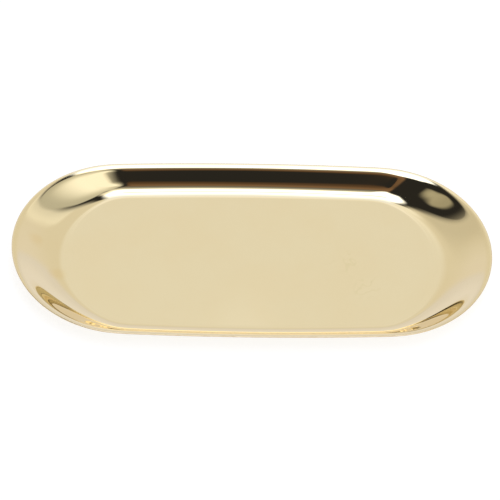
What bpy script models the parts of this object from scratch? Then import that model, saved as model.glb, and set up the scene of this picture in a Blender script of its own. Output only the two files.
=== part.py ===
"""Oval jewelry tray: one pressing of thin, polished, gold-coloured steel.

Metres, +Z up. The tray's long way lies along X, and the origin is the centre of its flat underside.
"""

import math

import bmesh
import bpy
import numpy as np

MM = 0.001

# Sizes of the finished tray
TRAY_LENGTH = 180 * MM
TRAY_WIDTH = 85 * MM
TRAY_HEIGHT = 8 * MM
SHEET_THICKNESS = 0.5 * MM

# Outline seen from above: two round ends, joined by long sides that bow out a little
SIDE_RADIUS = 1200 * MM
EASE_LENGTH = 10 * MM  # of rim, along which the bow of a side turns into the round of an end

# Wall: its slope grows up a cove, holds along a flank and eases off along a lip, up to the cut edge.
# The sides have a steep section and the ends a gentle one, and shares are measured along the sheet
SIDE_FLANK_ANGLE = math.radians(53)
SIDE_RIM_ANGLE = math.radians(7)
SIDE_COVE_SHARE = 0.58
SIDE_FLANK_SHARE = 0.225
END_FLANK_ANGLE = math.radians(31)
END_RIM_ANGLE = math.radians(7)
END_COVE_SHARE = 0.78
END_FLANK_SHARE = 0.12
END_POWER = 1.1  # a lower power lets the gentle section reach further along the sides

# Facets: steps round a quarter of the outline, up the wall and round the cut edge
SIDE_STEPS = 6
END_STEPS = 20
WALL_STEPS = 20
EDGE_STEPS = 6
FINE_STEPS = 2000

GOLD = (0.86, 0.72, 0.44, 1.0)
GOLD_ROUGHNESS = 0.1


def ease(share):
    """A smooth step from 0 to 1."""
    share = np.clip(share, 0, 1)
    return share * share * (3 - 2 * share)


def quarter_rim():
    """Points and outward directions, from the middle of a long side round to the tip of an end."""
    half_length = TRAY_LENGTH / 2
    half_width = TRAY_WIDTH / 2
    # An end's radius follows from the side's: the two arcs touch, and each reaches its half size
    end_radius = (2 * SIDE_RADIUS * half_width - half_length**2 - half_width**2) / (
        2 * (SIDE_RADIUS - half_length)
    )
    side_turn = math.asin((half_length - end_radius) / (SIDE_RADIUS - end_radius))
    side_length = SIDE_RADIUS * side_turn
    end_length = end_radius * (math.pi / 2 - side_turn)
    # The curvature changes evenly over the easing length, and its sum gives the heading
    step = (side_length + end_length) / FINE_STEPS
    along = (np.arange(FINE_STEPS) + 0.5) * step
    past_joint = np.clip((along - side_length) / EASE_LENGTH + 0.5, 0, 1)
    curvature = (1 - past_joint) / SIDE_RADIUS + past_joint / end_radius
    heading = np.cumsum(curvature) * step - curvature * step / 2
    x = np.append(0, np.cumsum(np.cos(heading)) * step)
    drop = np.append(0, np.cumsum(np.sin(heading)) * step)
    x *= half_length / x[-1]
    y = half_width * (1 - drop / drop[-1])
    # Even steps along the side, then even steps round the end
    stops = np.append(
        np.linspace(0, side_length, SIDE_STEPS, endpoint=False),
        np.linspace(side_length, side_length + end_length, END_STEPS + 1),
    )
    lengths = np.arange(FINE_STEPS + 1) * step
    turned = np.interp(stops, lengths, np.append(0, np.cumsum(curvature) * step))
    points = np.column_stack([np.interp(stops, lengths, x), np.interp(stops, lengths, y)])
    outward = np.column_stack([np.sin(turned), np.cos(turned)])
    return points, outward


def full_loop(quarter):
    """A quarter mirrored to all four, anticlockwise from the tip of the end at +X."""
    first = quarter[::-1]
    second = quarter[1:] * (-1, 1)
    half = np.vstack([first, second])
    return np.vstack([half, -half[1:-1]])


def wall_section(flank_angle, rim_angle, cove_share, flank_share):
    """The sheet's middle up a wall: its inset from the rim and its height, with how fast each changes."""
    lip_start = cove_share + flank_share

    def slope(share):
        eased_off = (flank_angle - rim_angle) * ease((share - lip_start) / (1 - lip_start))
        return flank_angle * ease(share / cove_share) - eased_off

    fine = slope((np.arange(FINE_STEPS) + 0.5) / FINE_STEPS)
    across = np.append(0, np.cumsum(np.cos(fine)))
    height = np.append(0, np.cumsum(np.sin(fine)))
    scale = (TRAY_HEIGHT - SHEET_THICKNESS) / height[-1]
    stops = np.linspace(0, 1, WALL_STEPS + 1)
    fine_stops = np.linspace(0, 1, FINE_STEPS + 1)
    insets = (across[-1] - np.interp(stops, fine_stops, across)) * scale
    heights = np.interp(stops, fine_stops, height) * scale
    length = FINE_STEPS * scale
    return insets, heights, length * np.cos(slope(stops)), length * np.sin(slope(stops))


def tray_rings():
    """Closed rings of points: up the inside of the sheet, round its cut edge and down the underside."""
    quarter_points, quarter_outward = quarter_rim()
    rim = full_loop(quarter_points)
    outward = full_loop(quarter_outward)
    side_wall = wall_section(SIDE_FLANK_ANGLE, SIDE_RIM_ANGLE, SIDE_COVE_SHARE, SIDE_FLANK_SHARE)
    end_wall = wall_section(END_FLANK_ANGLE, END_RIM_ANGLE, END_COVE_SHARE, END_FLANK_SHARE)
    end_share = np.abs(outward[:, 0]) ** END_POWER
    half_sheet = SHEET_THICKNESS / 2

    def ring(station, tilt):
        """One ring: half a sheet from its middle at a station of the wall, tilt round from the inside."""
        inset, height, run, climb = [
            side[station] + (end[station] - side[station]) * end_share
            for side, end in zip(side_wall, end_wall)
        ]
        slope = np.arctan2(climb, run)
        out = half_sheet * np.sin(tilt - slope) - half_sheet - inset
        level = half_sheet + height + half_sheet * np.cos(tilt - slope)
        return np.column_stack([rim + outward * out[:, None], level])

    last = WALL_STEPS
    inside = [ring(station, 0) for station in range(last + 1)]
    edge = [ring(last, math.pi * step / EDGE_STEPS) for step in range(1, EDGE_STEPS)]
    underside = [ring(station, math.pi) for station in range(last, -1, -1)]
    return inside + edge + underside


def gold_finish():
    material = bpy.data.materials.new("polished_gold")
    material.use_nodes = True
    shader = material.node_tree.nodes["Principled BSDF"]
    shader.inputs["Base Color"].default_value = GOLD
    shader.inputs["Metallic"].default_value = 1
    shader.inputs["Roughness"].default_value = GOLD_ROUGHNESS
    return material


def make_tray_pan():
    model = bmesh.new()
    rings = [[model.verts.new(point) for point in ring] for ring in tray_rings()]
    for lower, upper in zip(rings, rings[1:]):
        for here in range(len(lower)):
            after = (here + 1) % len(lower)
            model.faces.new((lower[here], upper[here], upper[after], lower[after]))
    model.faces.new(rings[0])
    model.faces.new(reversed(rings[-1]))
    mesh = bpy.data.meshes.new("tray_pan")
    model.to_mesh(mesh)
    model.free()
    mesh.shade_smooth()
    mesh.materials.append(gold_finish())
    tray = bpy.data.objects.new("tray_pan", mesh)
    bpy.context.scene.collection.objects.link(tray)


for leftover in list(bpy.data.objects):
    bpy.data.objects.remove(leftover)
make_tray_pan()
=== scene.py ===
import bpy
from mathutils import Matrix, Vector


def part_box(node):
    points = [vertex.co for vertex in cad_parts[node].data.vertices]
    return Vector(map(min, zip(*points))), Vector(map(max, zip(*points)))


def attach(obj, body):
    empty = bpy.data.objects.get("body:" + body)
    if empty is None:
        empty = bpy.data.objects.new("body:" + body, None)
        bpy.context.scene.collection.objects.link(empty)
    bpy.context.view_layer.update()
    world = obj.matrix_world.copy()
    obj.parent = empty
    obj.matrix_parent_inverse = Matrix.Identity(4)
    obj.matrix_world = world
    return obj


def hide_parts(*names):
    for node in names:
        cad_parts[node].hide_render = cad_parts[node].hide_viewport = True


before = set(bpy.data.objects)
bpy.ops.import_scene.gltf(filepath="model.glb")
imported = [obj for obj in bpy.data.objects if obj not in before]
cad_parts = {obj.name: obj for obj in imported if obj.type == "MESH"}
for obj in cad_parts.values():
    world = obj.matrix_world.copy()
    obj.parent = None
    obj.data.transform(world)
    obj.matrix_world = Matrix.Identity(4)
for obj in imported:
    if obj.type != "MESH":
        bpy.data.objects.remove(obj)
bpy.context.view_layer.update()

import math

import bpy
import numpy as np
from mathutils import Quaternion, Vector

mm = 0.001
scene = bpy.context.scene
panLow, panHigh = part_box("tray_pan")
print("frame loaded, tray box in mm:", [round(size / mm, 2) for size in panHigh - panLow])


# Camera: the photograph's viewing angle, aimed at the middle of the rim
photoView = {
    "distance": 1.6587,  # metres
    "elevation": math.radians(49.545),
    "yaw": math.radians(5.812),  # how far the tray is turned from square on
    "roll": math.radians(5.148),
    "lens": 319.49,  # mm
    "sensor": 36,  # mm
    "imageSize": 500,  # pixels
    "rimMiddlePixel": (252.65, 248.79),
}


def makeCamera(values):
    level = math.cos(values["elevation"])
    back = Vector((
        -math.sin(values["yaw"]) * level,
        -math.cos(values["yaw"]) * level,
        math.sin(values["elevation"]),
    ))
    camera = bpy.data.objects.new("photoCamera", bpy.data.cameras.new("photoCamera"))
    scene.collection.objects.link(camera)
    camera.location = Vector((0, 0, panHigh.z)) + back * values["distance"]
    camera.rotation_mode = "QUATERNION"
    upright = (-back).to_track_quat("-Z", "Y")
    camera.rotation_quaternion = upright @ Quaternion((0, 0, 1), values["roll"])
    camera.data.sensor_width = values["sensor"]
    camera.data.lens = values["lens"]
    across, down = values["rimMiddlePixel"]
    camera.data.shift_x = 0.5 - across / values["imageSize"]
    camera.data.shift_y = down / values["imageSize"] - 0.5
    camera.data.clip_start = 0.01
    scene.camera = camera


makeCamera(photoView)
print("camera placed")


# Small helpers for shader nodes
def mathNode(tree, operation, *values):
    node = tree.nodes.new("ShaderNodeMath")
    node.operation = operation
    for socket, value in zip(node.inputs, values):
        if isinstance(value, bpy.types.NodeSocket):
            tree.links.new(value, socket)
        else:
            socket.default_value = value
    return node.outputs[0]


def rangeNode(tree, value, fromLow, fromHigh, toLow, toHigh):
    node = tree.nodes.new("ShaderNodeMapRange")
    node.interpolation_type = "SMOOTHSTEP"
    tree.links.new(value, node.inputs["Value"])
    node.inputs["From Min"].default_value = fromLow
    node.inputs["From Max"].default_value = fromHigh
    node.inputs["To Min"].default_value = toLow
    node.inputs["To Max"].default_value = toHigh
    return node.outputs["Result"]


def noiseNode(tree, vector, scale, detail=2.0, roughness=0.5):
    node = tree.nodes.new("ShaderNodeTexNoise")
    tree.links.new(vector, node.inputs["Vector"])
    for name, value in (("Scale", scale), ("Detail", detail), ("Roughness", roughness)):
        if isinstance(value, bpy.types.NodeSocket):
            tree.links.new(value, node.inputs[name])
        else:
            node.inputs[name].default_value = value
    return node.outputs["Fac"]


def newGroup(name, inputs, outputs):
    group = bpy.data.node_groups.new(name, "ShaderNodeTree")
    for socketName, default in inputs:
        socket = group.interface.new_socket(socketName, in_out="INPUT", socket_type="NodeSocketFloat")
        socket.default_value = default
    for socketName in outputs:
        group.interface.new_socket(socketName, in_out="OUTPUT", socket_type="NodeSocketFloat")
    start = group.nodes.new("NodeGroupInput")
    end = group.nodes.new("NodeGroupOutput")
    place = group.nodes.new("ShaderNodeTexCoord").outputs["Object"]
    return group, start.outputs, end.inputs, place


def placeGroup(tree, group, **values):
    node = tree.nodes.new("ShaderNodeGroup")
    node.node_tree = group
    for name, value in values.items():
        node.inputs[name].default_value = value
    return node.outputs


# Effects shared by the finishes. Object coordinates are metres, so a scale of 50 gives 20 mm clouds.
# Edges are where an effect starts and where it is full
sharedEffects = {
    "cloudEdges": (0.35, 0.68),
    "hairlineRuns": [(0.3, 14, 2600), (1.25, 18, 3100), (2.2, 11, 2300)],  # turn, scale along and across
    "hairlineEdges": (0.7, 0.8),
    "hairlinePatchEdges": (0.5, 0.7),
    "hairlinePatchScale": 55.0,
    "hairlinePatchChange": 9.0,  # for each radian of turn, so that the runs break up in different places
    "patchEdges": (1.5, 0.6),  # in radii from its middle
    "patchRagScale": 160.0,
    "curlEdges": (0.02, 0.0),
}


def polishHazeGroup():
    group, given, result, place = newGroup(
        "polishHaze", [("cloudScale", 45.0), ("least", 0.04), ("most", 0.07)], ["haze", "cloud"]
    )
    clouds = noiseNode(group, place, given["cloudScale"], detail=3.0, roughness=0.55)
    cloud = rangeNode(group, clouds, *sharedEffects["cloudEdges"], 0.0, 1.0)
    spread = mathNode(group, "SUBTRACT", given["most"], given["least"])
    haze = mathNode(group, "MULTIPLY_ADD", cloud, spread, given["least"])
    group.links.new(haze, result["haze"])
    group.links.new(cloud, result["cloud"])
    return group


def hairlineGroup():
    group, given, result, place = newGroup("hairlines", [("amount", 0.5)], ["scratch"])
    found = None
    for turn, along, across in sharedEffects["hairlineRuns"]:
        mapping = group.nodes.new("ShaderNodeMapping")
        mapping.inputs["Rotation"].default_value = (0, 0, turn)
        mapping.inputs["Scale"].default_value = (along, across, along)
        group.links.new(place, mapping.inputs["Vector"])
        lines = noiseNode(group, mapping.outputs["Vector"], 1.0, detail=1.0)
        line = rangeNode(group, lines, *sharedEffects["hairlineEdges"], 0.0, 1.0)
        patchScale = sharedEffects["hairlinePatchScale"] + sharedEffects["hairlinePatchChange"] * turn
        patchNoise = noiseNode(group, place, patchScale)
        patch = rangeNode(group, patchNoise, *sharedEffects["hairlinePatchEdges"], 0.0, 1.0)
        broken = mathNode(group, "MULTIPLY", line, patch)
        found = broken if found is None else mathNode(group, "MAXIMUM", found, broken)
    group.links.new(mathNode(group, "MULTIPLY", found, given["amount"]), result["scratch"])
    return group


def sheetWavesGroup():
    group, given, result, place = newGroup("sheetWaves", [("waveScale", 60.0)], ["height"])
    waves = noiseNode(group, place, given["waveScale"], detail=1.0)
    group.links.new(waves, result["height"])
    return group


def patchGroup():
    # A soft, ragged patch round one place on the tray, and thin curling lines left in it by a cloth
    group, given, result, place = newGroup(
        "patch", [("x", 0.0), ("y", 0.0), ("radius", 0.005), ("lineScale", 110.0)], ["patch", "lines"]
    )
    parts = group.nodes.new("ShaderNodeSeparateXYZ")
    group.links.new(place, parts.inputs[0])
    across = mathNode(group, "SUBTRACT", parts.outputs["X"], given["x"])
    along = mathNode(group, "SUBTRACT", parts.outputs["Y"], given["y"])
    alongSquare = mathNode(group, "MULTIPLY", along, along)
    squares = mathNode(group, "MULTIPLY_ADD", across, across, alongSquare)
    reach = mathNode(group, "DIVIDE", mathNode(group, "SQRT", squares), given["radius"])
    rag = noiseNode(group, place, sharedEffects["patchRagScale"], detail=2.0)
    ragged = mathNode(group, "ADD", reach, rag)
    patchStart, patchFull = sharedEffects["patchEdges"]
    patch = rangeNode(group, ragged, patchFull, patchStart, 1.0, 0.0)
    curls = noiseNode(group, place, given["lineScale"], detail=2.0)
    fromLine = mathNode(group, "ABSOLUTE", mathNode(group, "SUBTRACT", curls, 0.5))
    curlStart, curlFull = sharedEffects["curlEdges"]
    lines = rangeNode(group, fromLine, curlFull, curlStart, 1.0, 0.0)
    group.links.new(patch, result["patch"])
    group.links.new(mathNode(group, "MULTIPLY", lines, patch), result["lines"])
    return group


polishHaze = polishHazeGroup()
hairlines = hairlineGroup()
sheetWaves = sheetWavesGroup()
patches = patchGroup()


def colourMix(tree, first, second, factor):
    mix = tree.nodes.new("ShaderNodeMix")
    mix.data_type = "RGBA"
    for name, colour in (("A", first), ("B", second)):
        if isinstance(colour, bpy.types.NodeSocket):
            tree.links.new(colour, mix.inputs[name])
        else:
            mix.inputs[name].default_value = (*colour, 1)
    tree.links.new(factor, mix.inputs["Factor"])
    return mix.outputs["Result"]


def finishMaterial(name, values):
    material = bpy.data.materials.new(name)
    material.use_nodes = True
    tree = material.node_tree
    shader = tree.nodes["Principled BSDF"]
    shader.inputs["Metallic"].default_value = 1.0
    haze = placeGroup(
        tree, polishHaze, cloudScale=values["cloudScale"], least=values["least"], most=values["most"]
    )
    scratch = placeGroup(tree, hairlines, amount=values["scratches"])["scratch"]
    colour = colourMix(tree, values["colour"], values["warmColour"], haze["cloud"])
    roughness = mathNode(tree, "ADD", haze["haze"], scratch)
    for x, y, radius in values.get("stains", []):
        stain = placeGroup(tree, patches, x=x, y=y, radius=radius)["patch"]
        colour = colourMix(tree, colour, values["stainColour"], stain)
    for x, y, radius in values.get("wipes", []):
        lines = placeGroup(tree, patches, x=x, y=y, radius=radius)["lines"]
        colour = colourMix(tree, colour, values["wipeColour"], lines)
        roughness = mathNode(tree, "MULTIPLY_ADD", lines, values["wipeHaze"], roughness)
    if "rimWear" in values:
        wear = tree.nodes.new("ShaderNodeAttribute")
        wear.attribute_name = "rimWear"
        roughness = mathNode(tree, "MULTIPLY_ADD", wear.outputs["Fac"], values["rimWear"], roughness)
    tree.links.new(colour, shader.inputs["Base Color"])
    tree.links.new(roughness, shader.inputs["Roughness"])
    waves = placeGroup(tree, sheetWaves, waveScale=values["waveScale"])["height"]
    bump = tree.nodes.new("ShaderNodeBump")
    bump.inputs["Distance"].default_value = values["waveDepth"]
    tree.links.new(waves, bump.inputs["Height"])
    tree.links.new(bump.outputs["Normal"], shader.inputs["Normal"])
    return material


mirrorGold = {
    "colour": (0.845, 0.716, 0.447),
    "warmColour": (0.842, 0.705, 0.432),
    "cloudScale": 40.0,
    "least": 0.025,  # roughness between the clouds
    "most": 0.045,  # and in them
    "scratches": 0.05,
    "waveScale": 45.0,
    "waveDepth": 0.008 * mm,
    "stainColour": (0.83, 0.675, 0.39),
    "stains": [(-80.5 * mm, 7 * mm, 4 * mm), (-73 * mm, -7 * mm, 4.5 * mm)],  # x, y and radius
    "wipeColour": (0.815, 0.685, 0.405),
    "wipes": [(36 * mm, 0, 9 * mm), (43 * mm, -12 * mm, 8 * mm)],
    "wipeHaze": 0.03,
    "rimWear": 0.05,
}
cutEdgeGold = {
    "colour": (0.80, 0.66, 0.44),
    "warmColour": (0.74, 0.58, 0.36),
    "cloudScale": 400.0,
    "least": 0.18,
    "most": 0.3,
    "scratches": 0.1,
    "waveScale": 900.0,
    "waveDepth": 0.01 * mm,
}
undersideGold = {
    "colour": (0.83, 0.70, 0.43),
    "warmColour": (0.81, 0.67, 0.40),
    "cloudScale": 50.0,
    "least": 0.1,
    "most": 0.16,
    "scratches": 0.12,
    "waveScale": 60.0,
    "waveDepth": 0.006 * mm,
}
finishes = [
    finishMaterial("mirrorGold", mirrorGold),
    finishMaterial("cutEdgeGold", cutEdgeGold),
    finishMaterial("undersideGold", undersideGold),
]
print("finishes made:", [finish.name for finish in finishes])


# The tray: one pressing of thin sheet. Its shape follows the same rule as the CAD's, in finer steps
trayPan = {
    "sheet": 0.5 * mm,
    "sideRadius": 1200 * mm,  # the long sides bow out a little
    "easeLength": 10 * mm,  # of rim, where a side turns into an end
    "sideWall": {
        "flankAngle": math.radians(53),
        "rimAngle": math.radians(7),
        "coveShare": 0.58,  # of the wall, along the sheet
        "flankShare": 0.225,
    },
    "endWall": {
        "flankAngle": math.radians(31),
        "rimAngle": math.radians(7),
        "coveShare": 0.78,
        "flankShare": 0.12,
    },
    "endPower": 1.1,  # lower lets the gentle end wall reach further along the sides
    "wearStart": 0.88,  # of the wall's inside, from where the lip is dulled
    "sideSteps": 36,  # round a quarter
    "endSteps": 90,  # round a quarter
    "wallSteps": 64,
    "edgeSteps": 12,
    "floorRows": 20,
    "fineSteps": 4000,
}


def smoothStep(share):
    share = np.clip(share, 0, 1)
    return share * share * (3 - 2 * share)


def quarterRim(values):
    halfLength = (panHigh.x - panLow.x) / 2
    halfWidth = (panHigh.y - panLow.y) / 2
    sideRadius = values["sideRadius"]
    # An end's radius follows from the side's: the two arcs touch, and each reaches its half size
    endRadius = (2 * sideRadius * halfWidth - halfLength**2 - halfWidth**2) / (
        2 * (sideRadius - halfLength)
    )
    sideTurn = math.asin((halfLength - endRadius) / (sideRadius - endRadius))
    sideLength = sideRadius * sideTurn
    endLength = endRadius * (math.pi / 2 - sideTurn)
    fineSteps = values["fineSteps"]
    step = (sideLength + endLength) / fineSteps
    along = (np.arange(fineSteps) + 0.5) * step
    pastJoint = np.clip((along - sideLength) / values["easeLength"] + 0.5, 0, 1)
    curvature = (1 - pastJoint) / sideRadius + pastJoint / endRadius
    heading = np.cumsum(curvature) * step - curvature * step / 2
    x = np.append(0, np.cumsum(np.cos(heading)) * step)
    drop = np.append(0, np.cumsum(np.sin(heading)) * step)
    x *= halfLength / x[-1]
    y = halfWidth * (1 - drop / drop[-1])
    stops = np.append(
        np.linspace(0, sideLength, values["sideSteps"], endpoint=False),
        np.linspace(sideLength, sideLength + endLength, values["endSteps"] + 1),
    )
    lengths = np.arange(fineSteps + 1) * step
    turned = np.interp(stops, lengths, np.append(0, np.cumsum(curvature) * step))
    points = np.column_stack([np.interp(stops, lengths, x), np.interp(stops, lengths, y)])
    outward = np.column_stack([np.sin(turned), np.cos(turned)])
    return points, outward


def fullLoop(quarter):
    half = np.vstack([quarter[::-1], quarter[1:] * (-1, 1)])
    return np.vstack([half, -half[1:-1]])


def wallSection(wall, values):
    # The slope grows up a cove, holds along a flank and eases off along a lip, up to the cut edge
    lipStart = wall["coveShare"] + wall["flankShare"]

    def slope(share):
        easedOff = (wall["flankAngle"] - wall["rimAngle"]) * smoothStep((share - lipStart) / (1 - lipStart))
        return wall["flankAngle"] * smoothStep(share / wall["coveShare"]) - easedOff

    fineSteps = values["fineSteps"]
    fine = slope((np.arange(fineSteps) + 0.5) / fineSteps)
    across = np.append(0, np.cumsum(np.cos(fine)))
    height = np.append(0, np.cumsum(np.sin(fine)))
    scale = (panHigh.z - panLow.z - values["sheet"]) / height[-1]
    stops = np.linspace(0, 1, values["wallSteps"] + 1)
    fineStops = np.linspace(0, 1, fineSteps + 1)
    insets = (across[-1] - np.interp(stops, fineStops, across)) * scale
    heights = np.interp(stops, fineStops, height) * scale
    length = fineSteps * scale
    return insets, heights, length * np.cos(slope(stops)), length * np.sin(slope(stops))


def trayRings(values):
    quarterPoints, quarterOutward = quarterRim(values)
    rim = fullLoop(quarterPoints)
    outward = fullLoop(quarterOutward)
    sideWall = wallSection(values["sideWall"], values)
    endWall = wallSection(values["endWall"], values)
    endShare = np.abs(outward[:, 0]) ** values["endPower"]
    halfSheet = values["sheet"] / 2

    def ring(station, tilt):
        # Half a sheet from its middle, tilt round from the inside, where one section turns into the other
        inset, height, run, climb = [
            side[station] + (end[station] - side[station]) * endShare
            for side, end in zip(sideWall, endWall)
        ]
        slope = np.arctan2(climb, run)
        out = halfSheet * np.sin(tilt - slope) - halfSheet - inset
        level = halfSheet + height + halfSheet * np.cos(tilt - slope)
        return np.column_stack([rim + outward * out[:, None], level])

    last = values["wallSteps"]
    inside = [ring(station, 0) for station in range(last + 1)]
    edge = [ring(last, math.pi * step / values["edgeSteps"]) for step in range(1, values["edgeSteps"])]
    underside = [ring(station, math.pi) for station in range(last, -1, -1)]
    return inside, edge, underside


def floorFill(ring, firstIndex, startIndex, rows):
    # Straight rows from each point of one half of the ring to its mirror image across the tray
    count = len(ring)
    half = count // 2
    points = []
    columns = [[startIndex]]
    nextIndex = firstIndex
    for here in range(1, half):
        column = [startIndex + here]
        for row in range(1, rows):
            points.append(ring[here] + (ring[count - here] - ring[here]) * row / rows)
            column.append(nextIndex)
            nextIndex += 1
        column.append(startIndex + count - here)
        columns.append(column)
    columns.append([startIndex + half])
    faces = []
    for left, right in zip(columns, columns[1:]):
        for row in range(rows):
            corners = [left[min(row, len(left) - 1)], right[min(row, len(right) - 1)]]
            corners += [right[min(row + 1, len(right) - 1)], left[min(row + 1, len(left) - 1)]]
            faces.append(tuple(dict.fromkeys(corners)))
    return points, faces


def makeTray(values):
    inside, edge, underside = trayRings(values)
    rings = inside + edge + underside
    count = len(rings[0])
    points = [point for ring in rings for point in ring]
    faces = []
    finishOfFace = []
    for level in range(len(rings) - 1):
        if level < len(inside) - 1:
            finish = 0
        elif level < len(inside) + len(edge):
            finish = 1
        else:
            finish = 2
        for here in range(count):
            after = (here + 1) % count
            lower = level * count
            faces.append((lower + here, lower + count + here, lower + count + after, lower + after))
            finishOfFace.append(finish)
    fillPoints, fillFaces = floorFill(rings[0], len(points), 0, values["floorRows"])
    points += fillPoints
    faces += fillFaces
    finishOfFace += [0] * len(fillFaces)
    fillPoints, fillFaces = floorFill(rings[-1], len(points), (len(rings) - 1) * count, values["floorRows"])
    points += fillPoints
    faces += [tuple(reversed(face)) for face in fillFaces]
    finishOfFace += [2] * len(fillFaces)
    mesh = bpy.data.meshes.new("tray")
    mesh.from_pydata([tuple(point) for point in points], [], faces)
    mesh.polygons.foreach_set("material_index", finishOfFace)
    # Handling dulls the last millimetre or two of the lip
    wear = np.zeros(len(points))
    wallShare = np.arange(len(inside)) / values["wallSteps"]
    wearShare = smoothStep((wallShare - values["wearStart"]) / (1 - values["wearStart"]))
    wear[:len(inside) * count] = np.repeat(wearShare, count)
    mesh.attributes.new("rimWear", "FLOAT", "POINT").data.foreach_set("value", wear)
    mesh.shade_smooth()
    for finish in finishes:
        mesh.materials.append(finish)
    mesh.update()
    tray = bpy.data.objects.new("tray", mesh)
    scene.collection.objects.link(tray)
    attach(tray, "root")
    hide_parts("tray_pan")
    return tray


tray = makeTray(trayPan)
print("tray made, faces:", len(tray.data.polygons))


# The studio: a pale room, and cards hung round the tray for the metal to mirror. Directions are degrees
# from straight up: across to the right, and ahead away from the camera
studio = {
    "overheadColour": (0.84, 0.82, 0.77),
    "overheadUntil": 42,  # degrees from straight up
    "horizonColour": (0.885, 0.87, 0.895),
    "horizonFrom": 80,
    "floorSize": 6.0,  # metres
    "floorColour": (0.86, 0.86, 0.86),  # as the light finds it
    "floorSeen": 0.3,  # as the camera and the metal see it, with the glow added
    "floorGlow": 0.8,
    "floorRoughness": 0.9,
}
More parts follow.
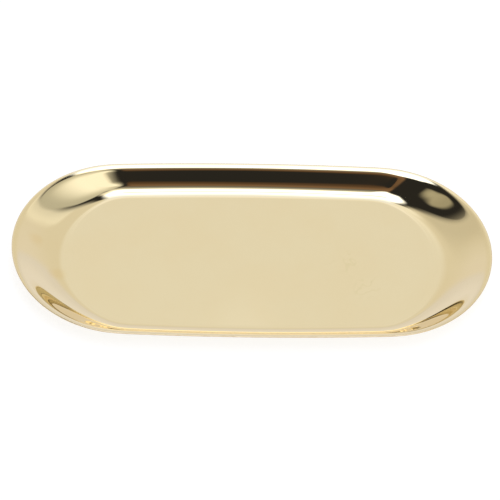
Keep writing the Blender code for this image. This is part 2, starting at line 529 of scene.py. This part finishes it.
# From the furthest to the nearest. A corner is across, ahead and how far the card's edge takes to fade in
# there. The glow goes from the first level to the second one over the given directions ahead
studioCards = [
    {
        "name": "horizonGlow",
        "outline": [(-62, 62, 14), (-42, 80, 12), (-14, 91, 14), (14, 91, 14), (42, 80, 12), (62, 62, 14),
                    (34, 50, 12), (10, 47, 10), (-10, 47, 10), (-34, 50, 12)],
        "middle": (0, 68),
        "glow": (0.87, 0.94),
        "ahead": (54, 72),
        "colour": (0.975, 0.985, 1.11),
        "distance": 3.5,  # metres
    },
    {
        "name": "shadedWall",
        "outline": [(-80, 4, 12), (-70, 26, 18), (-44, 46, 22), (-14, 36, 14), (-14, 8, 10), (-40, -2, 6)],
        "middle": (-42, 18),
        "glow": (0.68, 0.76),
        "ahead": (18, 36),
        "colour": (1.03, 1, 0.92),
        "distance": 3.45,
    },
    {
        "name": "rightGlow",
        "outline": [(74, 36, 10), (50, 33, 9), (32, 31, 9), (22, 27, 8), (24, 12, 6), (74, 8, 6)],
        "middle": (46, 20),
        "glow": (0.86, 0.99),
        "ahead": (15, 25),
        "colour": (1, 1, 0.98),
        "distance": 3.4,
    },
    {
        "name": "backdropGlow",
        "outline": [(-16, 20, 10), (-13, 28, 11), (-14, 34, 12), (-15, 40, 15), (-12, 47, 14), (0, 51, 8),
                    (7, 48, 9), (9.5, 41, 9.5), (7, 34, 5.5), (6, 28, 5), (4, 14, 4), (-9, 13, 4)],
        "middle": (-2, 30),
        "glow": (1.07, 0.915),
        "ahead": (30, 40),
        "colour": (0.99, 1, 1.02),
        "distance": 3.35,
    },
    {
        "name": "darkCanopy",
        "outline": [(-72, 13, 38), (-58, 13, 34), (-46, 13, 28), (-35, 13.5, 19), (-25, 14.5, 12),
                    (-17, 16.5, 9), (-11, 20, 5), (-7, 21.5, 4), (-2, 22, 3), (6, 25, 3), (11, 24.5, 4),
                    (16, 23, 6), (20, 22.5, 9), (24, 22, 12), (28, 21, 12), (33, 19.5, 12), (41, 18, 14),
                    (48, 16.5, 17), (56, 13, 20), (50, 0, 6), (34, -30, 6), (28, -50, 6), (24, -66, 5),
                    (0, -74, 4), (-24, -66, 4), (-46, -44, 4), (-70, -20, 6)],
        "middle": (0, -6),
        "glow": (0.025, 0.025),
        "colour": (1, 1, 1.1),
        "distance": 3.25,
    },
    {
        "name": "leftPanel",
        "outline": [(-34.5, -6, 4), (-32.5, -10, 4), (-31.5, -18, 5), (-30, -25, 5), (-30, -30, 5),
                    (-35, -34, 6), (-48, -40, 6), (-62, -26, 6), (-63, -7, 6), (-50, -2.5, 6),
                    (-40, -2.5, 5)],
        "middle": (-44, -18),
        "glow": (0.5, 0.4),
        "ahead": (-24, -8),
        "colour": (1.04, 1, 0.83),
        "distance": 3.2,
    },
    {
        "name": "rightPanel",
        "outline": [(22.5, -4, 4), (22.5, 7, 4), (27, 12.5, 4), (38, 13, 4), (46, 16, 6), (53, 20, 10),
                    (64, 22, 12), (66, -12, 5), (54, -40, 5), (38, -58, 5), (24, -59, 12), (16, -58, 10),
                    (13, -46, 6), (14.5, -34, 6), (16, -24, 6), (22, -14, 4)],
        "middle": (38, -16),
        "glow": (0.74, 0.6),
        "ahead": (-10, 10),
        "colour": (0.99, 1, 0.95),
        "distance": 3.15,
    },
    {
        "name": "windowGlow",
        "outline": [(18, -36, 14), (22, -16, 24), (30, -2, 28), (42, 5, 32), (66, 5, 34), (72, -20, 20),
                    (60, -50, 8), (40, -58, 6), (24, -53, 9), (16, -51, 8), (14.5, -45, 7)],
        "middle": (40, -36),
        "glow": (1.3, 1.3),
        "colour": (0.98, 1, 1.02),
        "distance": 3.1,
    },
    {
        "name": "brownTail",
        "outline": [(-17.5, -45, 3), (-15.8, -51.5, 2.5), (-11, -51.5, 3), (-4, -57.5, 4), (8, -62, 6),
                    (14, -59, 3), (12.5, -46, 3), (12, -34, 6), (0, -30, 8), (-12, -32, 6)],
        "middle": (-2, -46),
        "glow": (0.055, 0.15),
        "ahead": (-59, -42),
        "colour": (1.65, 1, 0.62),
        "distance": 3.05,
    },
    {
        "name": "lampRim",
        "outline": [(-17, -22, 6), (-12, -38, 8), (0, -44, 8), (12, -44, 8), (18, -34, 8), (22, -22, 6),
                    (25.5, -8, 6), (24, 1, 6), (16, 6, 5), (-8, -5, 5)],
        "middle": (4, -18),
        "glow": (0.15, 1.2),
        "ahead": (-40, -14),
        "colour": (1, 1, 0.98),
        "distance": 3.0,
    },
    {
        "name": "lampHalo",
        "outline": [(-4.5, 26, 5), (-3.2, 34, 3.5), (0, 40.3, 4.5), (3, 34, 3), (5, 26, 4), (0, 14, 4)],
        "middle": (0, 28),
        "glow": (1.13, 1.08),
        "ahead": (30, 38),
        "colour": (0.99, 1, 1.06),
        "distance": 2.95,
    },
    {
        "name": "softBox",
        "outline": [(0.5, 35, 7), (-2, 31, 5), (-3.2, 27, 4), (-4.8, 22.5, 4), (-9, 16.5, 4),
                    (-13.5, 9.5, 4), (-17, 3, 4), (-19, -4, 4), (-19.5, -14, 4), (-19.5, -21, 5),
                    (-16, -28, 7), (-10, -37, 8), (-4, -38, 9), (1, -35, 9), (6, -27, 9), (12, -24, 9),
                    (18, -17, 9), (19.5, -8, 8), (19.5, 0, 5), (18, 7, 4), (14, 14, 4), (9.5, 21.5, 4),
                    (6, 27, 4), (3.5, 32, 5)],
        "middle": (0, 0),
        "glow": (2.4, 1.12),
        "ahead": (6, 29),
        "colour": (0.92, 1, 1.22),
        "distance": 2.9,
    },
    {
        "name": "topPort",
        "outline": [(-8, 0, 3), (-5, 4, 3), (0, 5, 3), (5, 4, 3), (8, 0, 3), (5, -4, 3), (0, -5, 3),
                    (-5, -4, 3)],
        "middle": (0, 0),
        "glow": (1.2, 1.2),
        "colour": (1, 1, 1.02),
        "distance": 2.85,
    },
]


def cardPoint(across, ahead, distance):
    fromTop = math.radians(math.hypot(across, ahead))
    azimuth = math.atan2(across, ahead) + photoView["yaw"]
    level = math.sin(fromTop) * distance
    return (level * math.sin(azimuth), level * math.cos(azimuth), math.cos(fromTop) * distance)


def cardMaterial(card):
    material = bpy.data.materials.new(card["name"])
    material.use_nodes = True
    tree = material.node_tree
    tree.nodes.clear()
    glow = tree.nodes.new("ShaderNodeAttribute")
    glow.attribute_name = "glow"
    cover = tree.nodes.new("ShaderNodeAttribute")
    cover.attribute_name = "cover"
    light = tree.nodes.new("ShaderNodeEmission")
    light.inputs["Color"].default_value = (*card["colour"], 1)
    clear = tree.nodes.new("ShaderNodeBsdfTransparent")
    mix = tree.nodes.new("ShaderNodeMixShader")
    end = tree.nodes.new("ShaderNodeOutputMaterial")
    tree.links.new(glow.outputs["Fac"], light.inputs["Strength"])
    tree.links.new(cover.outputs["Fac"], mix.inputs[0])
    tree.links.new(clear.outputs[0], mix.inputs[1])
    tree.links.new(light.outputs[0], mix.inputs[2])
    tree.links.new(mix.outputs[0], end.inputs["Surface"])
    return material


def smoothOutline(corners, sideSteps=10):
    # A closed curve that passes through every corner
    curve = []
    for before, here, after, beyond in zip(
        np.roll(corners, 1, axis=0), corners, np.roll(corners, -1, axis=0), np.roll(corners, -2, axis=0)
    ):
        for step in range(sideSteps):
            share = step / sideSteps
            leaving = 2 * before - 5 * here + 4 * after - beyond
            turning = 3 * here - before - 3 * after + beyond
            curve.append(here + ((after - before) * share + leaving * share**2 + turning * share**3) / 2)
    return np.array(curve)


def makeCard(card, glowSteps=8, fadeSteps=12):
    edge = smoothOutline(np.array(card["outline"], float))
    middle = np.array(card["middle"], float)
    toEdge = edge[:, :2] - middle
    reach = np.linalg.norm(toEdge, axis=1)
    solid = np.clip(reach - edge[:, 2], 0, None)  # how far from the middle the card lets nothing through
    lengths = [solid * step / glowSteps for step in range(1, glowSteps + 1)]
    lengths += [solid + (reach - solid) * step / fadeSteps for step in range(1, fadeSteps + 1)]
    spots = np.vstack([middle] + [middle + toEdge * (length / reach)[:, None] for length in lengths])
    cover = np.concatenate([[1.0]] + [smoothStep((reach - length) / edge[:, 2]) for length in lengths])
    start, end = card.get("ahead", (0, 1))
    first, second = card["glow"]
    glow = first + (second - first) * smoothStep((spots[:, 1] - start) / (end - start))
    points = [cardPoint(*spot, card["distance"]) for spot in spots]
    count = len(edge)
    faces = [(0, 1 + here, 1 + (here + 1) % count) for here in range(count)]
    for ring in range(len(lengths) - 1):
        inner = 1 + ring * count
        for here in range(count):
            after = (here + 1) % count
            faces.append((inner + here, inner + count + here, inner + count + after, inner + after))
    mesh = bpy.data.meshes.new(card["name"])
    mesh.from_pydata(points, [], faces)
    for name, values in (("glow", glow), ("cover", cover)):
        mesh.attributes.new(name, "FLOAT", "POINT").data.foreach_set("value", values)
    mesh.materials.append(cardMaterial(card))
    sheet = bpy.data.objects.new(card["name"], mesh)
    scene.collection.objects.link(sheet)
    sheet.visible_camera = False


def makeFloor(values):
    half = values["floorSize"] / 2
    corners = [(-half, -half, 0), (half, -half, 0), (half, half, 0), (-half, half, 0)]
    mesh = bpy.data.meshes.new("studioFloor")
    mesh.from_pydata(corners, [], [(0, 1, 2, 3)])
    material = bpy.data.materials.new("paleFloor")
    material.use_nodes = True
    tree = material.node_tree
    shader = tree.nodes["Principled BSDF"]
    path = tree.nodes.new("ShaderNodeLightPath")
    seen = mathNode(tree, "MAXIMUM", path.outputs["Is Camera Ray"], path.outputs["Is Glossy Ray"])
    seen = mathNode(tree, "MAXIMUM", seen, path.outputs["Is Transmission Ray"])
    tint = tree.nodes.new("ShaderNodeMix")
    tint.data_type = "RGBA"
    tint.inputs["A"].default_value = (*values["floorColour"], 1)
    tint.inputs["B"].default_value = (values["floorSeen"],) * 3 + (1,)
    tree.links.new(seen, tint.inputs["Factor"])
    tree.links.new(tint.outputs["Result"], shader.inputs["Base Color"])
    shader.inputs["Roughness"].default_value = values["floorRoughness"]
    shader.inputs["Specular IOR Level"].default_value = 0
    shader.inputs["Emission Color"].default_value = (1, 1, 1, 1)
    glow = mathNode(tree, "MULTIPLY", seen, values["floorGlow"])
    tree.links.new(glow, shader.inputs["Emission Strength"])
    mesh.materials.append(material)
    floor = bpy.data.objects.new("studioFloor", mesh)
    scene.collection.objects.link(floor)
    floor.location.z = panLow.z


def makeRoom(values):
    world = bpy.data.worlds.new("paleRoom")
    scene.world = world
    world.use_nodes = True
    tree = world.node_tree
    direction = tree.nodes.new("ShaderNodeTexCoord").outputs["Generated"]
    parts = tree.nodes.new("ShaderNodeSeparateXYZ")
    tree.links.new(direction, parts.inputs[0])
    fromTop = mathNode(tree, "ARCCOSINE", parts.outputs["Z"])
    ends = [math.radians(values[name]) for name in ("overheadUntil", "horizonFrom")]
    wall = tree.nodes.new("ShaderNodeMix")
    wall.data_type = "RGBA"
    wall.inputs["A"].default_value = (*values["overheadColour"], 1)
    wall.inputs["B"].default_value = (*values["horizonColour"], 1)
    tree.links.new(rangeNode(tree, fromTop, *ends, 0, 1), wall.inputs["Factor"])
    # The camera itself sees plain white
    seen = tree.nodes.new("ShaderNodeMix")
    seen.data_type = "RGBA"
    path = tree.nodes.new("ShaderNodeLightPath")
    tree.links.new(wall.outputs["Result"], seen.inputs["A"])
    seen.inputs["B"].default_value = (1, 1, 1, 1)
    tree.links.new(path.outputs["Is Camera Ray"], seen.inputs["Factor"])
    tree.links.new(seen.outputs["Result"], tree.nodes["Background"].inputs["Color"])


for card in studioCards:
    makeCard(card)
makeFloor(studio)
makeRoom(studio)
scene.view_settings.view_transform = "Standard"
print("studio made, cards:", len(studioCards))
